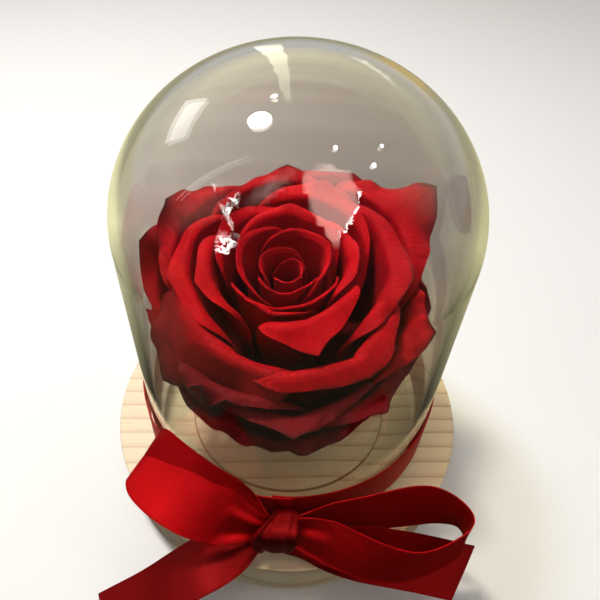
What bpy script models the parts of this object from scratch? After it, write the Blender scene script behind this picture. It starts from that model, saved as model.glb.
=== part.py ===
"""Rose under a glass dome.

A preserved rose head stands on a short stem on a round pine base. A glass dome rests on
the base over it, and a satin ribbon runs round the foot of the glass to a bow.

Metres, +Z up. The origin is the centre of the base's underside, and the bow is at -Y.
"""

import math
from collections import namedtuple

import bmesh
import bpy
import numpy as np
from mathutils import Matrix, Vector

MM = 0.001
GAP = 0.3 * MM  # clearance between pieces that rest on or grow from each other

# Pine base, one turned piece with a low round step that the rose stands on
BASE_RADIUS = 56.5 * MM
BASE_THICKNESS = 14.0 * MM
BASE_EDGE_ROUND = 0.8 * MM
STEP_RADIUS = 32.3 * MM
STEP_HEIGHT = 1.2 * MM

# Glass dome: a cylinder that closes in a slightly flattened round top
DOME_RADIUS = 45.0 * MM
DOME_HEIGHT = 117.5 * MM
DOME_CAP_HEIGHT = 40.0 * MM
GLASS_WALL = 2.0 * MM
DOME_FOOT = BASE_THICKNESS + GAP
CAP_STEPS = 6
ROUND_SEGMENTS = 48

# Satin ribbon
RIBBON_WIDTH = 16.0 * MM
RIBBON_THICKNESS = 0.5 * MM
BAND_CENTRE_Z = 27.7 * MM
KNOT_CENTRE = (-1.4, -51.2, 25.0)
KNOT_HALF_SIZE = (7.4, 4.8, 6.9)
KNOT_LEAN_DEG = 14.0

# Rose head: its own frame starts at the bottom of the hip, and it leans towards the bow
# and a little to the left
HEAD_FOOT = Vector((-0.6, 5.5, 29.0)) * MM
HEAD_LEAN_DEG = 12.0
HEAD_SIDE_LEAN_DEG = -2.0
PETAL_THICKNESS = 0.6 * MM
BUD_CLAW_SHARE = 0.34  # width of a petal at its base against its full width
OPEN_CLAW_SHARE = 0.55
CLAW_END = 0.62  # share of the way up where a petal reaches its full width
PETAL_START = 0.015  # share of its profile where a petal starts
BODY_ROWS = 4
RIM_ROWS = 2
RIM_BEND = 2.0  # radius that a rim curls round, in millimetres
RIM_LEAST = 0.4  # length of the rim at a petal's corners, in millimetres
STEM_RADIUS = 2.6 * MM
SEPAL_COUNT = 5
SEPAL_LENGTH = 17.0 * MM

# Profiles that the petals follow, from the tight bud to the wide outer petals. Each is a
# curve of (distance from the head's axis, height above the hip's foot) in millimetres,
# from the petal's base to its rim. The outer petals fall open on the bow's side and stand
# up at the back.
FRONT_PROFILES = (
    ((0.8, 15.0), (2.2, 24.0), (3.4, 33.0), (3.6, 42.0), (3.5, 48.0), (3.8, 51.5)),
    ((2.0, 13.0), (5.2, 21.0), (8.2, 31.0), (8.4, 40.0), (7.9, 46.5), (8.4, 51.5)),
    ((3.4, 10.5), (9.6, 17.0), (14.0, 27.0), (14.2, 37.0), (13.2, 45.0), (13.8, 51.0)),
    ((4.8, 7.8), (14.6, 12.5), (21.0, 23.0), (22.0, 34.0), (21.6, 43.0), (23.0, 49.0)),
    ((6.2, 5.0), (19.0, 7.0), (28.6, 17.5), (30.0, 29.0), (30.0, 38.0), (31.6, 43.0)),
    ((7.5, 2.2), (22.0, 1.0), (33.0, 8.5), (35.6, 18.0), (36.4, 25.5), (38.4, 28.5)),
)
BACK_PROFILES = (
    ((0.8, 15.0), (2.2, 24.0), (3.6, 33.0), (3.8, 42.0), (3.6, 48.0), (4.0, 52.0)),
    ((2.0, 13.0), (5.5, 21.0), (9.8, 31.0), (11.4, 41.0), (12.0, 49.0), (13.4, 53.5)),
    ((3.4, 10.5), (10.0, 17.0), (17.0, 27.5), (18.6, 39.0), (19.5, 48.5), (22.5, 54.5)),
    ((4.8, 7.8), (15.0, 12.5), (24.5, 23.5), (26.5, 37.0), (28.0, 48.0), (31.0, 54.0)),
    ((6.2, 5.0), (19.5, 8.0), (31.0, 19.0), (33.0, 33.0), (34.0, 45.0), (36.5, 52.5)),
    ((7.5, 2.2), (22.5, 2.5), (34.5, 12.5), (37.0, 28.0), (38.0, 40.0), (40.0, 48.0)),
)

# Petals from the inside out. Azimuth and half-width are in degrees (0 is +X, -90 faces
# the bow). Place runs from 0 (bud) to 1 (outermost profile) and grows by spiral per radian
# along the petal, which winds the bud. Reach is the share of the profile that the petal
# covers. Its rim then curls outwards by roll degrees, and by fold degrees more beside the
# tip, over lip millimetres. Point is how sharply the rim comes to a tip, tip is where along
# the rim that lies, from -1 to 1, and corner is how flat the petal is between its tip and
# its corners.
Petal = namedtuple(
    "Petal", "name azimuth half_width place spiral reach roll fold lip point tip corner"
)
BUD_PETALS = (
    Petal("bud_petal_1", -25, 173, 0.018, 0.006, 0.928, 19, 25, 1.0, 0.0, 0, 0.19),
    Petal("bud_petal_2", 133, 98, 0.073, 0.004, 0.942, 22, 41, 1.6, 0.1, 0.2, 0.21),
    Petal("bud_petal_3", -85, 101, 0.128, 0.004, 0.939, 34, 9, 1.6, 0.1, -0.2, 0.12),
    Petal("bud_petal_4", 35, 98, 0.191, 0.004, 0.952, 40, 29, 1.9, 0.3, 0, 0.20),
    Petal("bud_petal_5", 171, 86, 0.233, 0.004, 0.946, 33, 28, 2.0, 0.3, -0.2, 0.05),
    Petal("bud_petal_6", -68, 80, 0.282, 0.004, 0.942, 42, 23, 2.0, 0.3, 0.2, 0.00),
    Petal("bud_petal_7", 90, 75, 0.283, 0.004, 0.972, 36, 35, 3.1, 0.5, 0, 0.21),
)
OPEN_PETALS = (
    Petal("inner_petal_1", -112, 69, 0.346, 0.000, 0.954, 35, 2, 3.0, 0.3, 0.1, 0.19),
    Petal("inner_petal_2", 23, 62, 0.348, 0.000, 0.937, 49, 38, 4.0, 0.6, -0.2, 0.26),
    Petal("inner_petal_3", 127, 58, 0.391, 0.000, 0.931, 33, 23, 4.2, 0.6, 0.2, 0.32),
    Petal("inner_petal_4", -172, 49, 0.461, 0.000, 0.949, 54, 10, 4.0, 0.6, 0.1, 0.15),
    Petal("inner_petal_5", -59, 60, 0.433, 0.000, 0.965, 109, 3, 11.0, 0.9, -0.16, 0.32),
    Petal("inner_petal_6", 67, 53, 0.513, 0.000, 0.931, 24, 35, 6.0, 0.8, 0.1, 0.33),
    Petal("inner_petal_7", 180, 55, 0.596, 0.000, 0.947, 88, 6, 4.3, 0.5, 0.1, 0.25),
    Petal("outer_petal_1", -126, 53, 0.659, 0.000, 0.958, 115, 5, 13.4, 0.7, -0.4, 0.49),
    Petal("outer_petal_2", 18, 51, 0.618, 0.000, 0.942, 44, 35, 6.6, 0.7, -0.2, 0.51),
    Petal("outer_petal_3", 98, 52, 0.670, 0.000, 0.941, 28, 62, 4.9, 0.9, -0.1, 0.33),
    Petal("outer_petal_4", -63, 55, 0.741, 0.000, 0.965, 100, 0, 4.5, 0.3, -0.4, 0.38),
    Petal("outer_petal_5", 149, 44, 0.750, 0.000, 0.971, 22, 59, 7.2, 1.0, 0.1, 0.54),
    Petal("outer_petal_6", 33, 41, 0.776, 0.000, 0.962, 47, 46, 11.8, 1.0, 0, 0.46),
    Petal("outer_petal_7", -122, 51, 0.813, 0.000, 0.929, 51, 41, 5.2, 0.8, 0.1, 0.42),
    Petal("outer_petal_8", -17, 28, 0.849, 0.000, 0.937, 44, 42, 8.6, 1.0, -0.05, 0.52),
    Petal("outer_petal_9", -88, 45, 0.897, 0.000, 0.937, 61, 39, 7.2, 0.9, 0, 0.60),
    Petal("outer_petal_10", 71, 47, 0.930, 0.000, 0.963, 20, 54, 3.8, 0.8, -0.15, 0.38),
    Petal("outer_petal_11", 163, 42, 0.921, 0.000, 0.983, 7, 71, 6.7, 1.0, 0, 0.47),
    Petal("outer_petal_12", -50, 42, 0.946, 0.000, 0.945, 55, 22, 6.5, 1.0, -0.1, 0.44),
    Petal("outer_petal_13", 1, 37, 0.989, 0.000, 0.908, 30, 47, 4.4, 1.0, -0.1, 0.37),
    Petal("outer_petal_14", -120, 42, 0.994, 0.000, 0.907, 54, 36, 4.3, 1.0, 0, 0.50),
)

# Ribbon routes in millimetres: centre of the ribbon, the way its upper edge lies from
# there, and the share of the full width that it spans where it is gathered.
LOOP_RIGHT = (
    ((8.4, -48.2, 27.6), (0.0, 0.0, 1.0), 0.55),
    ((14.0, -47.6, 27.8), (0.0, 0.1, 1.0), 0.85),
    ((26.0, -45.4, 28.6), (0.0, 0.15, 1.0), 1.0),
    ((37.0, -43.4, 28.8), (0.0, 0.15, 1.0), 1.0),
    ((46.0, -42.6, 28.4), (0.1, 0.1, 1.0), 1.0),
    ((51.8, -45.0, 27.6), (0.2, 0.0, 1.0), 1.0),
    ((52.4, -49.2, 27.0), (0.2, -0.1, 1.0), 1.0),
    ((48.0, -53.0, 27.0), (0.1, -0.1, 1.0), 1.0),
    ((40.0, -55.8, 27.2), (0.0, 0.0, 1.0), 1.0),
    ((30.0, -57.2, 27.2), (0.0, 0.1, 1.0), 1.0),
    ((18.0, -55.8, 26.6), (0.0, 0.2, 1.0), 0.9),
    ((8.0, -53.4, 25.4), (0.0, 0.2, 1.0), 0.5),
)
LOOP_LEFT = (
    ((-9.8, -48.2, 29.0), (0.0, 0.1, 1.0), 0.55),
    ((-14.0, -48.0, 32.0), (0.2, 0.1, 1.0), 0.8),
    ((-20.0, -46.0, 37.0), (0.3, 0.2, 1.0), 1.0),
    ((-28.0, -41.6, 40.6), (0.3, 0.25, 1.0), 1.0),
    ((-34.4, -37.9, 40.6), (0.45, 0.4, 0.8), 1.0),
    ((-36.9, -38.9, 38.8), (0.52, 0.6, 0.6), 1.0),
    ((-35.8, -42.4, 37.2), (0.52, 0.6, 0.6), 1.0),
    ((-30.6, -47.2, 35.4), (0.5, 0.56, 0.66), 1.0),
    ((-22.4, -50.6, 32.4), (0.36, 0.5, 0.78), 1.0),
    ((-15.0, -52.4, 29.4), (0.2, 0.34, 0.9), 0.78),
    ((-9.6, -53.0, 26.4), (0.1, 0.2, 1.0), 0.42),
)
TAIL_RIGHT = (
    ((7.0, -52.0, 20.2), (0.1, 0.5, 0.85), 0.45),
    ((14.0, -52.4, 19.6), (0.1, 0.6, 0.78), 0.85),
    ((24.0, -53.0, 18.6), (0.2, 0.66, 0.7), 1.0),
    ((38.0, -54.0, 16.6), (0.3, 0.72, 0.6), 1.0),
    ((51.8, -54.6, 13.9), (0.4, 0.78, 0.48), 1.0),
)
TAIL_LEFT = (
    ((-7.0, -53.8, 17.0), (-0.4, 0.6, 0.5), 0.5),
    ((-11.0, -55.2, 18.6), (-0.5, 0.78, 0.1), 0.9),
    ((-17.6, -57.8, 18.6), (-0.54, 0.82, -0.1), 1.0),
    ((-26.0, -61.4, 14.6), (-0.5, 0.84, -0.16), 1.0),
    ((-35.0, -65.0, 9.6), (-0.46, 0.86, -0.14), 1.0),
    ((-46.0, -69.4, 4.6), (-0.42, 0.88, -0.1), 1.0),
)


def clear_scene():
    """Removes what the file starts with."""
    for obj in list(bpy.data.objects):
        bpy.data.objects.remove(obj, do_unlink=True)


def material(name, colour, roughness, transmission=0.0, ior=1.45):
    """A Principled BSDF material with one part's colour and finish."""
    mat = bpy.data.materials.new(name)
    mat.use_nodes = True
    shader = mat.node_tree.nodes["Principled BSDF"]
    shader.inputs["Base Color"].default_value = (*colour, 1.0)
    shader.inputs["Roughness"].default_value = roughness
    shader.inputs["Metallic"].default_value = 0.0
    shader.inputs["Transmission Weight"].default_value = transmission
    shader.inputs["IOR"].default_value = ior
    return mat


def new_object(name, verts, faces, mat):
    """An object made from points and faces, one sub-part of the whole."""
    mesh = bpy.data.meshes.new(name)
    mesh.from_pydata([tuple(v) for v in verts], [], faces)
    mesh.update()
    obj = bpy.data.objects.new(name, mesh)
    bpy.context.scene.collection.objects.link(obj)
    mesh.materials.append(mat)
    mesh.shade_smooth()
    mesh.set_sharp_from_angle(angle=math.radians(40))
    return obj


def face_outwards(obj):
    """Turns a closed mesh's faces to point out of it."""
    bm = bmesh.new()
    bm.from_mesh(obj.data)
    bmesh.ops.recalc_face_normals(bm, faces=bm.faces)
    bm.to_mesh(obj.data)
    bm.free()


def ring_angles(count):
    """Angles of the points of one ring."""
    return [2 * math.pi * i / count for i in range(count)]


def turned(name, profile, mat):
    """A body turned round Z from a profile that runs down its outer side."""
    mesh = bpy.data.meshes.new(name)
    points = [(r, 0.0, z) for r, z in profile]
    edges = [(i, i + 1) for i in range(len(points) - 1)]
    mesh.from_pydata(points, edges, [])
    obj = bpy.data.objects.new(name, mesh)
    bpy.context.scene.collection.objects.link(obj)
    mesh.materials.append(mat)
    screw = obj.modifiers.new("turn", "SCREW")
    screw.steps = screw.render_steps = ROUND_SEGMENTS
    screw.use_merge_vertices = True
    screw.merge_threshold = 0.00001
    screw.use_smooth_shade = True


def base_profile():
    """The pine base from the middle of its top, down its side, to its underside."""
    top, edge = BASE_THICKNESS, BASE_EDGE_ROUND
    step_top = top + STEP_HEIGHT
    return [
        (0.0, step_top),
        (STEP_RADIUS - 0.2 * MM, step_top),
        (STEP_RADIUS, step_top - 0.2 * MM),
        (STEP_RADIUS, top),
        (BASE_RADIUS - edge, top),
        (BASE_RADIUS - 0.3 * edge, top - 0.3 * edge),
        (BASE_RADIUS, top - edge),
        (BASE_RADIUS, edge),
        (BASE_RADIUS - edge, 0.0),
        (0.0, 0.0),
    ]


def cap_arc(radius, cap_height, centre_z):
    """Points of the dome's top, from its pole down to where the straight wall starts."""
    arc = []
    for i in range(CAP_STEPS + 1):
        angle = math.pi / 2 * (1 - i / CAP_STEPS)
        arc.append((radius * math.cos(angle), centre_z + cap_height * math.sin(angle)))
    arc[0] = (0.0, centre_z + cap_height)
    return arc


def dome_profile():
    """The glass wall: down the outside, round the foot and up the inside."""
    shoulder = DOME_FOOT + DOME_HEIGHT - DOME_CAP_HEIGHT
    lip = GLASS_WALL / 4
    outer = cap_arc(DOME_RADIUS, DOME_CAP_HEIGHT, shoulder)
    inner = cap_arc(DOME_RADIUS - GLASS_WALL, DOME_CAP_HEIGHT - GLASS_WALL, shoulder)
    foot = [
        (DOME_RADIUS, DOME_FOOT + lip),
        (DOME_RADIUS - lip, DOME_FOOT),
        (DOME_RADIUS - GLASS_WALL + lip, DOME_FOOT),
        (DOME_RADIUS - GLASS_WALL, DOME_FOOT + lip),
    ]
    return outer + foot + inner[::-1]


def band_mesh(mat):
    """The ribbon that runs once round the foot of the glass."""
    inner = DOME_RADIUS + GAP
    outer = inner + RIBBON_THICKNESS
    low = BAND_CENTRE_Z - RIBBON_WIDTH / 2
    high = BAND_CENTRE_Z + RIBBON_WIDTH / 2
    section = ((outer, high), (outer, low), (inner, low), (inner, high))
    verts, faces = [], []
    for i in range(ROUND_SEGMENTS):
        angle = 2 * math.pi * i / ROUND_SEGMENTS
        for r, z in section:
            verts.append((r * math.cos(angle), r * math.sin(angle), z))
    for i in range(ROUND_SEGMENTS):
        a, b = 4 * i, 4 * ((i + 1) % ROUND_SEGMENTS)
        for j in range(4):
            k = (j + 1) % 4
            faces.append((a + j, a + k, b + k, b + j))
    obj = new_object("ribbon_band", verts, faces, mat)
    face_outwards(obj)


def ribbon_strip(name, route, mat):
    """A strip of ribbon along a route, thickened to a closed solid."""
    verts = []
    for side in (-1, 0, 1):
        for centre, lie, share in route:
            half = RIBBON_WIDTH / 2 * share
            verts.append(Vector(centre) * MM + Vector(lie).normalized() * half * side)
    count = len(route)
    faces = []
    for k in (0, 1):
        for i in range(count - 1):
            a, b = k * count + i, (k + 1) * count + i
            faces.append((a, a + 1, b + 1, b))
    obj = new_object(name, verts, faces, mat)
    solid = obj.modifiers.new("thickness", "SOLIDIFY")
    solid.thickness = RIBBON_THICKNESS
    solid.offset = 0.0


def squarer(value):
    """Pushes a cosine or sine outwards, which makes a round section boxier."""
    return math.copysign(abs(value) ** 0.72, value)


def knot(mat):
    """The wrap round the middle of the bow, a boxy lump that leans to the right."""
    rings, around = 8, 16
    verts = []
    for i in range(1, rings):
        polar = math.pi * i / rings
        height, girth = squarer(math.cos(polar)), squarer(math.sin(polar))
        for turn in ring_angles(around):
            x, y = squarer(math.cos(turn)), squarer(math.sin(turn))
            verts.append((girth * x, girth * y, height))
    verts.extend([(0, 0, 1), (0, 0, -1)])
    faces = []
    for i in range(rings - 2):
        for j in range(around):
            k = (j + 1) % around
            low, high = (i + 1) * around, i * around
            faces.append((high + j, low + j, low + k, high + k))
    top, bottom = len(verts) - 2, len(verts) - 1
    last = (rings - 2) * around
    for j in range(around):
        k = (j + 1) % around
        faces.append((top, j, k))
        faces.append((bottom, last + k, last + j))
    lean = Matrix.Rotation(math.radians(KNOT_LEAN_DEG), 4, "Y")
    scale = Matrix.Diagonal((*KNOT_HALF_SIZE, 1.0))
    place = Matrix.Translation(KNOT_CENTRE)
    shaped = [place @ lean @ scale @ Vector(v) * MM for v in verts]
    obj = new_object("bow_knot", shaped, faces, mat)
    face_outwards(obj)


def smooth_step(x):
    """Rises from 0 to 1 without a kink at either end."""
    x = np.clip(x, 0, 1)
    return x * x * (3 - 2 * x)


def b_spline(control, s):
    """A clamped cubic B-spline: control is (..., points, 2), s is (...)."""
    count = control.shape[-2]
    spans = count - 3
    knots = np.concatenate([[0] * 3, np.linspace(0, 1, spans + 1), [1] * 3])
    s = np.clip(s, 0.0, 1.0 - 1e-9)
    basis = []
    for i in range(len(knots) - 1):
        inside = (s >= knots[i]) & (s < knots[i + 1])
        basis.append(inside.astype(float))
    for degree in (1, 2, 3):
        for i in range(len(knots) - 1 - degree):
            left = knots[i + degree] - knots[i]
            right = knots[i + degree + 1] - knots[i + 1]
            value = np.zeros_like(s)
            if left > 0:
                value += (s - knots[i]) / left * basis[i]
            if right > 0:
                value += (knots[i + degree + 1] - s) / right * basis[i + 1]
            basis[i] = value
    weights = np.stack(basis[:count], axis=-1)
    return (weights[..., None] * control).sum(axis=-2)


def profile_point(place, share, azimuth):
    """Distance from the head's axis and height, for a place among the profiles."""
    front, back = np.array(FRONT_PROFILES), np.array(BACK_PROFILES)
    x = np.clip(place, 0, 1) * (len(front) - 1)
    i = np.minimum(x.astype(int), len(front) - 2)
    f = (x - i)[..., None, None]
    rear = smooth_step(0.5 + 0.5 * np.sin(azimuth))[..., None, None]
    control = (1 - rear) * ((1 - f) * front[i] + f * front[i + 1])
    control = control + rear * ((1 - f) * back[i] + f * back[i + 1])
    return b_spline(control, share)


def head_matrix():
    """The rose head's own frame, leaning towards the bow."""
    forward = Matrix.Rotation(math.radians(HEAD_LEAN_DEG), 4, "X")
    sideways = Matrix.Rotation(math.radians(HEAD_SIDE_LEAN_DEG), 4, "Y")
    return Matrix.Translation(HEAD_FOOT) @ sideways @ forward


def rim_length(petal, side):
    """Length of the curled rim, for side from 0 at the petal's tip to 1 at its corners."""
    blunt = 1 - side ** 2.4
    sharp = 0.5 * (1 - side) + 0.5 * (1 - side) ** 3.5
    middle = 0.7 * petal.lip * ((1 - petal.point) * blunt + petal.point * sharp)
    return middle + 0.3 * petal.lip * (1 - side ** 6) + RIM_LEAST


def petal_grid(petal, claw_share, columns):
    """Points of a petal's middle surface, rows from its base to the edge of its rim."""
    half = columns // 2
    left, right = np.linspace(-1, petal.tip, half + 1), np.linspace(petal.tip, 1, half + 1)
    up = np.append(np.linspace(0, 1, BODY_ROWS + 1), np.ones(RIM_ROWS))
    curled = np.append(np.zeros(BODY_ROWS), np.linspace(0, 1, RIM_ROWS + 1))
    u, body = np.meshgrid(np.append(left, right[1:]), up)
    curl = np.repeat(curled[:, None], columns + 1, axis=1)

    widen = claw_share + (1 - claw_share) * smooth_step(body / CLAW_END)
    half_angle = math.radians(petal.half_width) * widen
    theta = math.radians(petal.azimuth) + half_angle * u
    place = petal.place + petal.spiral * half_angle * u
    span = np.where(u < petal.tip, 1 + petal.tip, 1 - petal.tip)
    side = np.abs(u - petal.tip) / span

    droop = 0.06 * side ** 2.6 + 0.12 * side ** 7
    share = PETAL_START + (petal.reach * (1 - droop) - PETAL_START) * body
    at = profile_point(place, share, theta)
    along = at - profile_point(place, share - 0.01, theta)
    along /= np.linalg.norm(along, axis=-1, keepdims=True)
    out = np.stack([along[..., 1], -along[..., 0]], axis=-1)

    beside_tip = smooth_step(side / 0.4) * (1 - 0.6 * smooth_step((side - 0.6) / 0.4))
    roll = np.radians(petal.roll + petal.fold * beside_tip)
    run = rim_length(petal, side) * curl
    bend = np.minimum(run / RIM_BEND, roll)
    straight = np.maximum(run - RIM_BEND * roll, 0)
    ahead = RIM_BEND * np.sin(bend) + straight * np.cos(roll)
    aside = RIM_BEND * (1 - np.cos(bend)) + straight * np.sin(roll)
    r, z = np.moveaxis(at + along * ahead[..., None] + out * aside[..., None], -1, 0)

    middle = span * half_angle / 2
    chord = np.cos(middle) / np.cos(side * 2 * middle - middle)
    r = r * (1 + petal.corner * smooth_step((body - 0.45) / 0.5) * (chord - 1))
    return np.stack([r * np.cos(theta), r * np.sin(theta), z], axis=-1) * MM


def petal(entry, claw_share, colour, columns):
    """One petal as a closed solid of even thickness."""
    grid = petal_grid(entry, claw_share, columns)
    frame = head_matrix()
    verts = [frame @ Vector(p) for p in grid.reshape(-1, 3)]
    faces = []
    for j in range(BODY_ROWS + RIM_ROWS):
        for i in range(columns):
            a = j * (columns + 1) + i
            b = a + columns + 1
            faces.append((a, a + 1, b + 1, b))
    obj = new_object(entry.name, verts, faces, material("red_" + entry.name, colour, 0.6))
    solid = obj.modifiers.new("thickness", "SOLIDIFY")
    solid.thickness = PETAL_THICKNESS
    solid.offset = 0.0


def stem_and_calyx(mat):
    """Short cut stem, five sepals and the hip that the petals grow from, in one piece."""
    around = 6 * SEPAL_COUNT
    frame = head_matrix()
    foot_z = BASE_THICKNESS + STEP_HEIGHT + GAP
    foot = Vector((HEAD_FOOT.x, HEAD_FOOT.y + 1.0 * MM, foot_z))
    rings = [
        [foot + Vector((STEM_RADIUS * math.cos(a), STEM_RADIUS * math.sin(a), 0.0))
         for a in ring_angles(around)]
    ]
    hip = (
        (STEM_RADIUS, -2.6 * MM, 0.0),
        (3.6 * MM, -1.2 * MM, 0.0),
        (5.0 * MM, -0.5 * MM, 1.0),
        (5.6 * MM, 0.9 * MM, 0.0),
        (6.2 * MM, 2.4 * MM, 0.0),
        (5.0 * MM, 5.2 * MM, 0.0),
        (3.4 * MM, 8.6 * MM, 0.0),
        (1.6 * MM, 12.2 * MM, 0.0),
    )
    for radius, height, sepal in hip:
        ring = []
        for a in ring_angles(around):
            point = 0.5 + 0.5 * math.cos(SEPAL_COUNT * a)
            reach = radius + sepal * SEPAL_LENGTH * point ** 2
            drop = -sepal * 2.2 * MM * point ** 2
            ring.append(frame @ Vector((reach * math.cos(a), reach * math.sin(a), height + drop)))
        rings.append(ring)
    verts = [p for ring in rings for p in ring]
    faces = []
    for k in range(len(rings) - 1):
        for j in range(around):
            n = (j + 1) % around
            low, high = k * around, (k + 1) * around
            faces.append((low + j, low + n, high + n, high + j))
    faces.append(tuple(range(around))[::-1])
    verts.append(frame @ Vector((0, 0, 13.6 * MM)))
    last = (len(rings) - 1) * around
    for j in range(around):
        faces.append((last + j, last + (j + 1) % around, len(verts) - 1))
    obj = new_object("stem_and_calyx", verts, faces, mat)
    face_outwards(obj)


def main():
    clear_scene()
    turned("wooden_base", base_profile(), material("pine", (0.72, 0.50, 0.27), 0.45))
    glass = material("glass", (0.97, 0.98, 0.95), 0.02, transmission=1.0)
    turned("glass_dome", dome_profile(), glass)
    band_mesh(material("satin_band", (0.45, 0.004, 0.010), 0.3))
    knot(material("satin_knot", (0.42, 0.004, 0.010), 0.3))
    routes = (
        ("bow_loop_left", LOOP_LEFT),
        ("bow_loop_right", LOOP_RIGHT),
        ("bow_tail_left", TAIL_LEFT),
        ("bow_tail_right", TAIL_RIGHT),
    )
    for name, route in routes:
        ribbon_strip(name, route, material("satin_" + name, (0.45, 0.004, 0.010), 0.3))
    stem_and_calyx(material("dried_green", (0.10, 0.13, 0.04), 0.7))
    for entry in BUD_PETALS:
        petal(entry, BUD_CLAW_SHARE, (0.36, 0.003, 0.006), 8)
    for entry in OPEN_PETALS:
        petal(entry, OPEN_CLAW_SHARE, (0.40, 0.004, 0.006), 6)


main()
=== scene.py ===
# %% [markdown]
# # A preserved rose under a glass dome
# The imported model gives every piece its place. This lesson dresses it: turned pine, blown
# glass, satin ribbon and the petals of the rose. It starts by loading the model.

# %% Load the model
import math
from collections import namedtuple

import bpy
import numpy as np
from mathutils import Matrix, Vector


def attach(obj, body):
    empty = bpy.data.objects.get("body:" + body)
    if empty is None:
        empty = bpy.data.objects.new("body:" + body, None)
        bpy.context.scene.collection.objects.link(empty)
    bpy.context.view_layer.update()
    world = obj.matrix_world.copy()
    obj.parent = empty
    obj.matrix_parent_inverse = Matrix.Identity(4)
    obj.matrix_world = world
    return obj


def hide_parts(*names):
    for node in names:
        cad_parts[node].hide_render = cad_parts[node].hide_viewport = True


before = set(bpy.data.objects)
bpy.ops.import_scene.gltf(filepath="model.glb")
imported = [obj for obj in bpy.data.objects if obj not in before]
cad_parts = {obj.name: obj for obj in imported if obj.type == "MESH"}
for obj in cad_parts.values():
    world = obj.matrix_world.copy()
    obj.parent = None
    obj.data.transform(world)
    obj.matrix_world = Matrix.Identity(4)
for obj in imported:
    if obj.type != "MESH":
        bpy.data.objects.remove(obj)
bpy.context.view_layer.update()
scene = bpy.context.scene
MM = 0.001

# %% [markdown]
# ## The camera
# The photograph looks down at about 45 degrees from very near, so things close to the
# lens look large. The camera could be moved by eye, but the outlines of the dome and the
# base fix how steeply it looks down, how much it is rolled and how far away it stands.

# %% Camera
CAMERA_DOWN = 0.7906  # radians below level
CAMERA_ROLL = 0.0642
CAMERA_AIM = Vector((1.62, 0, 63.09)) * MM
CAMERA_DISTANCE = 158.85 * MM

forward = Vector((0, math.cos(CAMERA_DOWN), -math.sin(CAMERA_DOWN)))
level = Vector((1, 0, 0))
rise = level.cross(forward)
right = level * math.cos(CAMERA_ROLL) + rise * math.sin(CAMERA_ROLL)
up = rise * math.cos(CAMERA_ROLL) - level * math.sin(CAMERA_ROLL)
eye = CAMERA_AIM - forward * CAMERA_DISTANCE
bpy.ops.object.camera_add(location=eye)
camera = bpy.context.object
camera.name = "camera"
camera.rotation_euler = Matrix((right, up, -forward)).transposed().to_euler()
camera.data.sensor_width = 36
camera.data.lens = 33.6
camera.data.clip_start = 0.005
scene.camera = camera
print("camera at", tuple(round(v, 3) for v in eye))

# %% [markdown]
# ## Small helpers
# Each piece starts as a primitive. The first helpers keep its steps short: they start
# from a clean selection, name the new piece, and apply a modifier so that the mesh itself
# holds the shape. The others add the nodes of a material. What a node puts out can be
# added or multiplied like a number, which adds the node that works the sum out.

# %% Helpers for pieces
NEAR = 0.1 * MM  # how near something lies to a height or radius that it belongs to


def mode(name):
    bpy.ops.object.mode_set(mode=name)


def start():
    """Leaves edit mode and deselects everything."""
    if bpy.context.object and bpy.context.object.mode == "EDIT":
        mode("OBJECT")
    bpy.ops.object.select_all(action="DESELECT")


def only(piece):
    """Selects this piece alone."""
    start()
    bpy.context.view_layer.objects.active = piece
    piece.select_set(True)


def named(name):
    """Names the piece that was just added, puts its place in its mesh and returns it."""
    piece = bpy.context.object
    piece.name = piece.data.name = name
    bpy.ops.object.transform_apply(location=True, rotation=True, scale=True)
    return piece


def apply_modifier(piece, kind, **settings):
    """Adds a modifier, sets it and applies it."""
    made = piece.modifiers.new(kind.lower(), kind)
    for key, value in settings.items():
        setattr(made, key, value)
    only(piece)
    bpy.ops.object.modifier_apply(modifier=made.name)


def thicken(piece, thickness, offset=0):
    """Gives a sheet its thickness, on both sides alike unless there is an offset."""
    apply_modifier(piece, "SOLIDIFY", thickness=thickness, offset=offset)


def pick(piece, kind, test):
    """In edit mode, selects the faces or edges whose middle and direction pass the test."""
    mode("EDIT")
    bpy.ops.mesh.select_all(action="DESELECT")
    bpy.ops.mesh.select_mode(type=kind)
    mode("OBJECT")
    mesh = piece.data
    if kind == "FACE":
        for face in mesh.polygons:
            face.select = test(face.center, face.normal)
    else:
        for edge in mesh.edges:
            a, b = (mesh.vertices[i].co for i in edge.vertices)
            edge.select = test((a + b) / 2, (b - a).normalized())
    mode("EDIT")


def dress(piece, material, angle, replaces=None):
    """Smooth shading up to an angle, the material, the root body, and hiding the model part that the piece
    replaces.
    """
    only(piece)
    bpy.ops.object.shade_smooth_by_angle(angle=math.radians(angle))
    piece.data.materials.append(material)
    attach(piece, "root")
    if replaces:
        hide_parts(replaces)


def tell(piece):
    """Prints what a finished piece measures."""
    size = piece.dimensions
    tris = sum(len(face.vertices) - 2 for face in piece.data.polygons)
    print(f"{piece.name}: {size.x / MM:.1f} x {size.y / MM:.1f} x {size.z / MM:.1f} mm, {tris} triangles")


# %% Helpers for materials


class Value:
    """What a node puts out."""

    def __init__(self, socket):
        self.socket = socket

    def __add__(self, other):
        return maths("ADD", self, other)

    def __sub__(self, other):
        return maths("SUBTRACT", self, other)

    def __mul__(self, other):
        return maths("MULTIPLY", self, other)


def feed(node, inputs):
    """Links what other nodes put out to a node's inputs, or writes plain values into them."""
    for key, value in inputs.items():
        socket = node.inputs[key.replace("_", " ") if isinstance(key, str) else key]
        if isinstance(value, Value):
            node.id_data.links.new(value.socket, socket)
        elif socket.type == "RGBA":
            socket.default_value = (*value, 1)
        else:
            socket.default_value = value


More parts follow.
